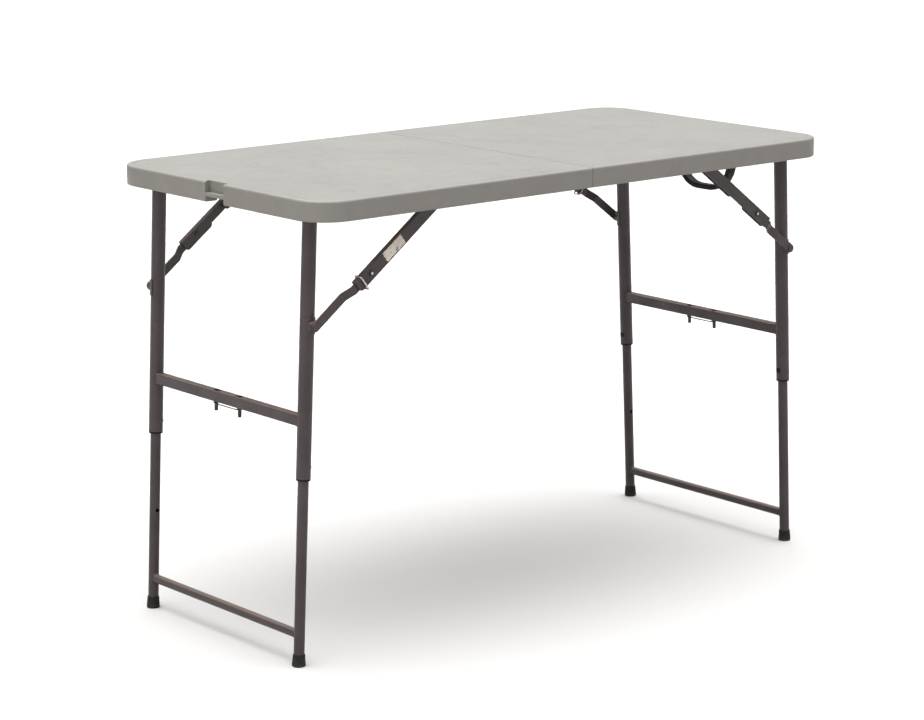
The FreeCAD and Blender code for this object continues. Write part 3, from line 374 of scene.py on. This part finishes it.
def make_plated():
    """Zinc-plated steel, slightly tarnished."""
    shader = Shader("PlatedSteel")
    tarnish = shader.remap(shader.noise(130.0, 5.0), 0.42, 0.68)
    shader.color(shader.mix(tarnish, PLATED_COLOR, shade(PLATED_COLOR, 0.55)))
    shader.roughness(shader.remap(shader.noise(260.0, 4.0), 0.3, 0.7, 0.22, 0.42))
    shader.normal(shader.bump(shader.noise(700.0, 3.0), 0.00004))
    shader.set(Metallic=1.0)
    return shader.material


def make_black_steel():
    """Blackened steel with a bright rub here and there."""
    shader = Shader("BlackSteel")
    rubbed = shader.remap(shader.noise(240.0, 5.0), 0.62, 0.74, 0.0, 0.6)
    shader.color(shader.mix(rubbed, BLACK_STEEL_COLOR, (0.20, 0.19, 0.18)))
    shader.roughness(shader.remap(shader.noise(160.0, 3.0), 0.3, 0.7, 0.30, 0.48))
    shader.normal(shader.bump(shader.noise(900.0, 2.0), 0.00004))
    shader.set(Metallic=0.55)
    return shader.material


def make_paper():
    """An old paper label: faded, rubbed through in places, and blank."""
    shader = Shader("LabelPaper")
    stain = shader.remap(shader.noise(120.0, 5.0), 0.35, 0.65)
    paper = shader.mix(stain, shade(PAPER_COLOR, 0.88), shade(PAPER_COLOR, 1.08))
    rubbed = shader.remap(shader.noise(95.0, 7.0, 0.7), 0.57, 0.63)
    shader.color(shader.mix(rubbed, paper, shade(PAINT_COLOR, 1.7)))
    shader.roughness(shader.remap(stain, 0.0, 1.0, 0.62, 0.78))
    shader.normal(shader.bump(shader.noise(500.0, 4.0), 0.00008))
    return shader.material


def make_floor_surface():
    """Plain pale paper sweep."""
    shader = Shader("StudioFloor")
    tone = shader.remap(shader.noise(0.6, 3.0), 0.3, 0.7)
    shader.color(shader.mix(tone, shade(FLOOR_COLOR, 0.995), shade(FLOOR_COLOR, 1.005)))
    shader.set(Roughness=0.85, Specular_IOR_Level=0.15)
    return shader.material


materials = {
    "top_plastic": make_top_plastic(),
    "frame_paint": make_paint(),
    "black_plastic": make_black_plastic(),
    "black_rubber": make_rubber(),
    "plated_steel": make_plated(),
    "black_steel": make_black_steel(),
}
paper = make_paper()


def dress_frame():
    """Give every CAD node its slot's material."""
    for part in frame["record"]["subparts"]:
        node = nodes[part["node"]]
        node.data.materials.clear()
        node.data.materials.append(materials[part["material_slot"]])


# ---------------------------------------------------------------- pieces built here

def add_piece(name, mesh, body, material):
    """A finished mesh as a piece that rides on a CAD body, or stays unattached when no body is given."""
    piece = bpy.data.objects.new(name, mesh)
    bpy.context.scene.collection.objects.link(piece)
    mesh.materials.append(material)
    mesh.shade_smooth()
    if body:
        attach(piece, body)
    return piece


LEG_OFFSET = 0.2223
OUTER_TUBE_RADIUS = 0.0127
INNER_TUBE_RADIUS = 0.0095
CROSSBAR_HALF = 0.0095
CROSSBAR_CORNER = 0.002
CROSSBAR_DROP = 0.3624
STRETCHER_RADIUS = 0.008
STRETCHER_DROP = 0.7368


def leg_axis(side):
    """Where a leg frame turns, and the way down its legs, from the frame's joints."""
    pivot = Vector(joints[side + "_leg_fold"]["pos_m"])
    down = -Vector(joints[side + "_leg_extension_slide"]["axis"])
    return pivot, down


def square_profile(half, corner, count):
    """Points round a square with rounded corners, evenly by angle."""
    points = []
    for i in range(count):
        angle = 2 * math.pi * i / count
        reach = half / max(abs(math.cos(angle)), abs(math.sin(angle)))
        limit = math.hypot(half, half) - corner * (math.sqrt(2) - 1)
        reach = min(reach, limit)
        points.append((reach * math.cos(angle), reach * math.sin(angle)))
    return points


BEAD_RADIUS = 0.0013
BEAD_SIDES = 8
SQUARE_BEAD_POINTS = 48
ROUND_BEAD_POINTS = 36


def weld_bead(name, profile, tube_radius, middle, down, row, body):
    """A weld bead where a cross member meets a leg: a rippled cord along their seam."""
    across = Vector((0.0, 1.0, 0.0))
    side_way = down.cross(across).normalized()
    mesh = bpy.data.meshes.new(name)
    made = bmesh.new()
    rings = []
    for i, (u, v) in enumerate(profile):
        depth = math.sqrt(tube_radius**2 - min(abs(u), tube_radius * 0.98)**2)
        centre = middle + side_way * u + down * v - across * row * depth
        outward = (side_way * u + down * v).normalized()
        ripple = BEAD_RADIUS * (1.0 + 0.16 * math.sin(i * 1.9) + 0.10 * math.sin(i * 0.73))
        ring = []
        for k in range(BEAD_SIDES):
            angle = 2 * math.pi * k / BEAD_SIDES
            offset = outward * math.cos(angle) - across * row * math.sin(angle)
            ring.append(made.verts.new(centre + offset * ripple))
        rings.append(ring)
    for here, there in zip(rings, rings[1:] + rings[:1]):
        for k in range(BEAD_SIDES):
            following = (k + 1) % BEAD_SIDES
            made.faces.new((here[k], here[following], there[following], there[k]))
    bmesh.ops.recalc_face_normals(made, faces=made.faces)
    made.to_mesh(mesh)
    made.free()
    return add_piece(name, mesh, body, materials["frame_paint"])


def make_welds():
    """Beads at both ends of the crossbars and stretchers."""
    square = square_profile(CROSSBAR_HALF, CROSSBAR_CORNER, SQUARE_BEAD_POINTS)
    circle = [(STRETCHER_RADIUS * math.cos(2 * math.pi * i / ROUND_BEAD_POINTS),
               STRETCHER_RADIUS * math.sin(2 * math.pi * i / ROUND_BEAD_POINTS))
              for i in range(ROUND_BEAD_POINTS)]
    for side in ("left", "right"):
        pivot, down = leg_axis(side)
        for row_name, row in (("front", -1), ("rear", 1)):
            leg = Vector((0.0, row * LEG_OFFSET, 0.0))
            weld_bead(f"{side}_{row_name}_crossbar_weld", square, OUTER_TUBE_RADIUS,
                      pivot + down * CROSSBAR_DROP + leg, down, row, side + "_leg_frame")
            weld_bead(f"{side}_{row_name}_stretcher_weld", circle, INNER_TUBE_RADIUS,
                      pivot + down * STRETCHER_DROP + leg, down, row, side + "_leg_extension")


FOOT_HEIGHT = 0.022
FOOT_TOP_RADIUS = 0.0107
FOOT_BOTTOM_RADIUS = 0.01220


FOOT_RINGS = 26
FOOT_SIDES = 40
FOOT_LIP_SHARE = 0.10
FOOT_LIP_INSET = 0.0010
FOOT_GROOVES = (0.30, 0.42)
FOOT_GROOVE_WIDTH = 0.022
FOOT_GROOVE_DEPTH = 0.00045
FOOT_TOE_SHARE = 0.10
FOOT_TOE_INSET = 0.0016
FOOT_MOUTH_DEPTH = 0.0004


def foot_radius(t):
    """A ferrule's radius from its mouth, t = 0, to its sole, t = 1."""
    radius = FOOT_TOP_RADIUS + (FOOT_BOTTOM_RADIUS - FOOT_TOP_RADIUS) * t
    lip = max(0.0, 1.0 - t / FOOT_LIP_SHARE)
    radius -= FOOT_LIP_INSET * lip * lip
    groove = sum(math.exp(-((t - place) / FOOT_GROOVE_WIDTH)**2) for place in FOOT_GROOVES)
    radius -= FOOT_GROOVE_DEPTH * groove
    toe = max(0.0, (t - (1.0 - FOOT_TOE_SHARE)) / FOOT_TOE_SHARE)
    radius -= FOOT_TOE_INSET * toe * toe
    return radius


def add_ferrule(made, sole, down, side_way, across):
    """One ferrule's faces: grooved wall, level sole and the rim of its mouth round the tube."""
    around = [2 * math.pi * k / FOOT_SIDES for k in range(FOOT_SIDES)]
    rings = []
    for i in range(FOOT_RINGS):
        t = i / (FOOT_RINGS - 1)
        radius = foot_radius(t)
        ring = []
        for angle in around:
            point = (sole - down * FOOT_HEIGHT * (1 - t)
                     + (side_way * math.cos(angle) + across * math.sin(angle)) * radius)
            if i == FOOT_RINGS - 1:
                point -= down * (point.z / down.z)
            point.z = max(point.z, 0.0)
            ring.append(made.verts.new(point))
        rings.append(ring)
    for here, there in zip(rings, rings[1:]):
        for k in range(FOOT_SIDES):
            following = (k + 1) % FOOT_SIDES
            made.faces.new((here[k], here[following], there[following], there[k]))
    mouth = []
    for angle in around:
        mouth.append(made.verts.new(
            sole - down * (FOOT_HEIGHT - FOOT_MOUTH_DEPTH)
            + (side_way * math.cos(angle) + across * math.sin(angle)) * INNER_TUBE_RADIUS))
    for k in range(FOOT_SIDES):
        following = (k + 1) % FOOT_SIDES
        made.faces.new((rings[0][following], rings[0][k], mouth[k], mouth[following]))
    made.faces.new(rings[-1])


def make_feet():
    """Ribbed rubber ferrules that end level on the floor."""
    across = Vector((0.0, 1.0, 0.0))
    for side in ("left", "right"):
        pivot, down = leg_axis(side)
        whole = -pivot.z / down.z
        side_way = down.cross(across).normalized()
        mesh = bpy.data.meshes.new(side + "_foot_caps")
        made = bmesh.new()
        for row in (-1, 1):
            sole = pivot + down * whole + across * row * LEG_OFFSET
            add_ferrule(made, sole, down, side_way, across)
        bmesh.ops.recalc_face_normals(made, faces=made.faces)
        made.to_mesh(mesh)
        made.free()
        caps = add_piece(side + "_foot_caps", mesh, side + "_leg_extension",
                         materials["black_rubber"])
        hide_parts(side + "_feet")


FINGER_PIN_OFFSET = 0.035
PIN_CAP_PROFILE = ((-0.0014, 0.0), (-0.0014, 0.0030), (0.0001, 0.0030), (0.0001, 0.0046),
                   (0.0004, 0.0049), (0.0009, 0.0047), (0.0014, 0.0036), (0.0017, 0.0018),
                   (0.0018, 0.0))
RIVET_TIP_PROFILE = ((-0.0006, 0.0), (-0.0006, 0.0025), (0.0001, 0.0025), (0.0003, 0.0022),
                     (0.0004, 0.0016), (0.0001, 0.0012), (0.0, 0.0))
TURNED_SIDES = 32


def turned_piece(name, profile, seat, axis, body, slot_name):
    """A small turned part: a profile of heights and radii spun about an axis from its seat."""
    first = axis.orthogonal().normalized()
    second = axis.cross(first)
    mesh = bpy.data.meshes.new(name)
    made = bmesh.new()
    rings = []
    for height, radius in profile:
        centre = seat + axis * height
        if radius == 0.0:
            rings.append([made.verts.new(centre)] * TURNED_SIDES)
            continue
        ring = []
        for k in range(TURNED_SIDES):
            angle = 2 * math.pi * k / TURNED_SIDES
            ring.append(made.verts.new(
                centre + (first * math.cos(angle) + second * math.sin(angle)) * radius))
        rings.append(ring)
    for here, there in zip(rings, rings[1:]):
        for k in range(TURNED_SIDES):
            following = (k + 1) % TURNED_SIDES
            corners = (here[k], here[following], there[following], there[k])
            made.faces.new(tuple(dict.fromkeys(corners)))
    bmesh.ops.recalc_face_normals(made, faces=made.faces)
    made.to_mesh(mesh)
    made.free()
    return add_piece(name, mesh, body, materials[slot_name])


def make_pin_caps():
    """A black domed cap on top of each lock rod's finger pin, over its slot in the crossbar."""
    for side in ("left", "right"):
        pivot, down = leg_axis(side)
        for row_name, row in (("front", -1), ("rear", 1)):
            seat = pivot + down * (CROSSBAR_DROP - CROSSBAR_HALF)
            seat.y += row * FINGER_PIN_OFFSET
            turned_piece(f"{side}_{row_name}_pin_cap", PIN_CAP_PROFILE, seat, -down,
                         f"{side}_{row_name}_lock", "black_plastic")


WIRE_SIDES = 12


def wire_mesh(name, points, radius):
    """A round wire swept through points, with its frame carried along so that it doesn't twist."""
    mesh = bpy.data.meshes.new(name)
    made = bmesh.new()
    tangents = [(after - before).normalized()
                for before, after in zip(points[:1] + points[:-1], points[1:] + points[-1:])]
    normal = tangents[0].orthogonal().normalized()
    rings = []
    for point, tangent in zip(points, tangents):
        normal = (normal - tangent * normal.dot(tangent)).normalized()
        binormal = tangent.cross(normal)
        ring = []
        for k in range(WIRE_SIDES):
            angle = 2 * math.pi * k / WIRE_SIDES
            ring.append(made.verts.new(
                point + (normal * math.cos(angle) + binormal * math.sin(angle)) * radius))
        rings.append(ring)
    for here, there in zip(rings, rings[1:]):
        for k in range(WIRE_SIDES):
            following = (k + 1) % WIRE_SIDES
            made.faces.new((here[k], here[following], there[following], there[k]))
    made.faces.new(rings[0])
    made.faces.new(rings[-1])
    bmesh.ops.recalc_face_normals(made, faces=made.faces)
    made.to_mesh(mesh)
    made.free()
    return mesh


SPRING_WIRE_RADIUS = 0.0010
SPRING_DROP = 0.013
SPRING_BOW = 0.0024
SPRING_EYE_RADIUS = 0.0045
SPRING_EYE_TURNS = 1.0
SPRING_EYE_PITCH = 0.0021
SPRING_EYE_STEPS = 40
SPRING_RUN_STEPS = 30


def make_lock_springs():
    """The bowed wire spring under each crossbar, coiled round both finger pins. Each half is built at rest and
    attached to no body, so it neither follows its pin nor flexes."""
    across = Vector((0.0, 1.0, 0.0))
    for side in ("left", "right"):
        pivot, down = leg_axis(side)
        side_way = down.cross(across).normalized()
        level = pivot + down * (CROSSBAR_DROP + SPRING_DROP)
        for row_name, row in (("front", -1), ("rear", 1)):
            pin = level + across * row * FINGER_PIN_OFFSET
            points = []
            for i in range(SPRING_EYE_STEPS):
                left_to_go = 1 - i / SPRING_EYE_STEPS
                angle = -math.pi / 2 - 2 * math.pi * SPRING_EYE_TURNS * left_to_go
                points.append(pin - down * SPRING_EYE_PITCH * SPRING_EYE_TURNS * left_to_go
                              + side_way * math.sin(angle) * SPRING_EYE_RADIUS
                              - across * row * math.cos(angle) * SPRING_EYE_RADIUS)
            for i in range(SPRING_RUN_STEPS + 1):
                t = i / SPRING_RUN_STEPS
                points.append(level + across * row * FINGER_PIN_OFFSET * (1 - t)
                              - side_way * SPRING_EYE_RADIUS * (1 - t)**2 * (1 + 2 * t)
                              + down * SPRING_BOW * math.sin(math.pi / 2 * t))
            name = f"{side}_{row_name}_spring_half"
            half = add_piece(name, wire_mesh(name, points, SPRING_WIRE_RADIUS), None,
                             materials["black_steel"])
            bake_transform(half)
            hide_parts(side + "_lock_spring")


def make_rivet_tips():
    """The bright peened end of each brace rivet, dished in the middle."""
    for side in ("left", "right"):
        for row_name, row in (("front", -1), ("rear", 1)):
            knee = Vector(joints[f"{side}_{row_name}_lower_brace_turn"]["pos_m"])
            low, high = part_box(f"{side}_{row_name}_brace_joint_rivet")
            knee.y = low.y if row < 0 else high.y
            turned_piece(f"{side}_{row_name}_rivet_tip", RIVET_TIP_PROFILE, knee,
                         Vector((0.0, row, 0.0)), f"{side}_{row_name}_upper_brace",
                         "plated_steel")


LABEL_START = 0.107
LABEL_LENGTH = 0.049
LABEL_LOW = -0.0088
LABEL_HIGH = 0.0105
CHANNEL_OUTER = 0.26115
LABEL_COLUMNS = 40
LABEL_LINES = 12
LABEL_GAP = 0.00022
LABEL_CURL = 0.00035
LABEL_THICKNESS = 0.00015


def make_label():
    """A blank worn label stuck on the front left upper brace."""
    turn = joints["left_front_upper_brace_turn"]
    anchor = Vector(turn["pos_m"])
    knee = Vector(joints["left_front_lower_brace_turn"]["pos_m"])
    along = (knee - anchor).normalized()
    rise = Vector((-along.z, 0.0, along.x))
    if rise.z < 0:
        rise = -rise
    mesh = bpy.data.meshes.new("brace_label")
    made = bmesh.new()
    grid = []
    for i in range(LABEL_COLUMNS + 1):
        column = []
        for k in range(LABEL_LINES + 1):
            u, v = i / LABEL_COLUMNS, k / LABEL_LINES
            ragged = 0.0007 * math.sin(17.0 * v + 3.0) + 0.0005 * math.sin(41.0 * v)
            wavy = 0.0004 * math.sin(23.0 * u) + 0.0003 * math.sin(57.0 * u + 1.0)
            place = LABEL_START + LABEL_LENGTH * u + ragged * (2 * u - 1)
            height = LABEL_LOW + (LABEL_HIGH - LABEL_LOW) * v + wavy * (2 * v - 1)
            edge = min(u, 1 - u) * LABEL_COLUMNS
            curl = max(0.0, 1.0 - edge / 2.0) * (0.5 + 0.5 * math.sin(9.0 * v))
            lift = LABEL_GAP + LABEL_CURL * curl
            point = anchor + along * place + rise * height
            point.y = -(CHANNEL_OUTER + lift)
            column.append(made.verts.new(point))
        grid.append(column)
    for here, there in zip(grid, grid[1:]):
        for k in range(LABEL_LINES):
            made.faces.new((here[k], here[k + 1], there[k + 1], there[k]))
    bmesh.ops.recalc_face_normals(made, faces=made.faces)
    made.to_mesh(mesh)
    made.free()
    label = add_piece("brace_label", mesh, "left_front_upper_brace", paper)
    skin = label.modifiers.new("Thickness", "SOLIDIFY")
    skin.thickness = LABEL_THICKNESS


def make_floor():
    """A wide level floor."""
    mesh = bpy.data.meshes.new("StudioFloor")
    made = bmesh.new()
    bmesh.ops.create_grid(made, x_segments=8, y_segments=8, size=FLOOR_HALF)
    made.to_mesh(mesh)
    made.free()
    floor = bpy.data.objects.new("StudioFloor", mesh)
    mesh.materials.append(make_floor_surface())
    bpy.context.scene.collection.objects.link(floor)


make_camera()
make_light()
make_floor()
dress_frame()
make_welds()
make_feet()
make_pin_caps()
make_lock_springs()
make_rivet_tips()
make_label()

bpy.context.scene.view_settings.view_transform = "Standard"
